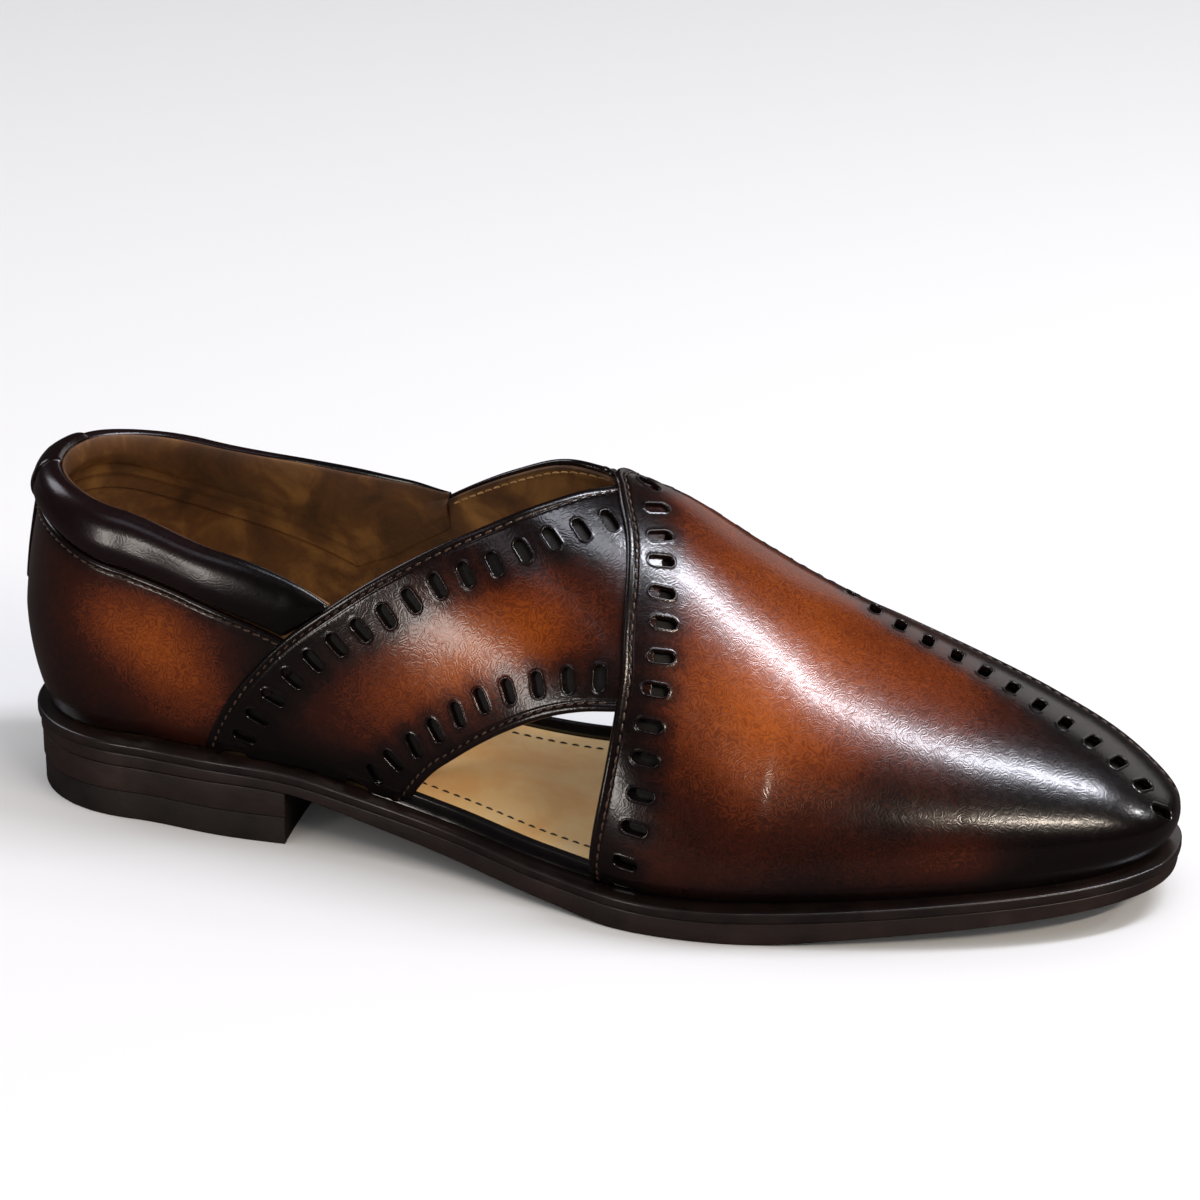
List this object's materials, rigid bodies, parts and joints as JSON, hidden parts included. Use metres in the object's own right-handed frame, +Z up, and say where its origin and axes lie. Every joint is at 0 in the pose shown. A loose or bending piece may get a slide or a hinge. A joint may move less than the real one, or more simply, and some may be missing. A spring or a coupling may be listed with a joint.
{
  "type": "peshawari chappal",
  "caption": "Closed leather sandal for a right foot: side straps crossing under a broad vamp panel, side windows, slotted edges, padded heel collar and low stacked heel.",
  "frame": {"origin": "centre of the shoe's bounding box, on the floor plane", "axes": "+X from heel to toe, +Y to the inner (medial) side, +Z up"},
  "size_m": [0.302, 0.1028, 0.0964],
  "materials": {
    "upper_leather": "burnished brown leather, dark at the edges, glossy, fine embossed grain",
    "collar_leather": "dark aubergine glossy leather over soft padding",
    "insole_leather": "natural tan leather, satin",
    "welt_leather": "dark brown waxed edge with stitches",
    "sole_leather": "dark brown waxed and polished leather edge",
    "heel_rubber": "black rubber, matt"
  },
  "bodies": {
    "root": {"outsole": "sole_leather", "midsole": "welt_leather", "heel_lift": "sole_leather", "heel_top_lift": "heel_rubber", "insole": "insole_leather", "upper": "upper_leather", "collar_roll": "collar_leather"}
  },
  "joints": []
}
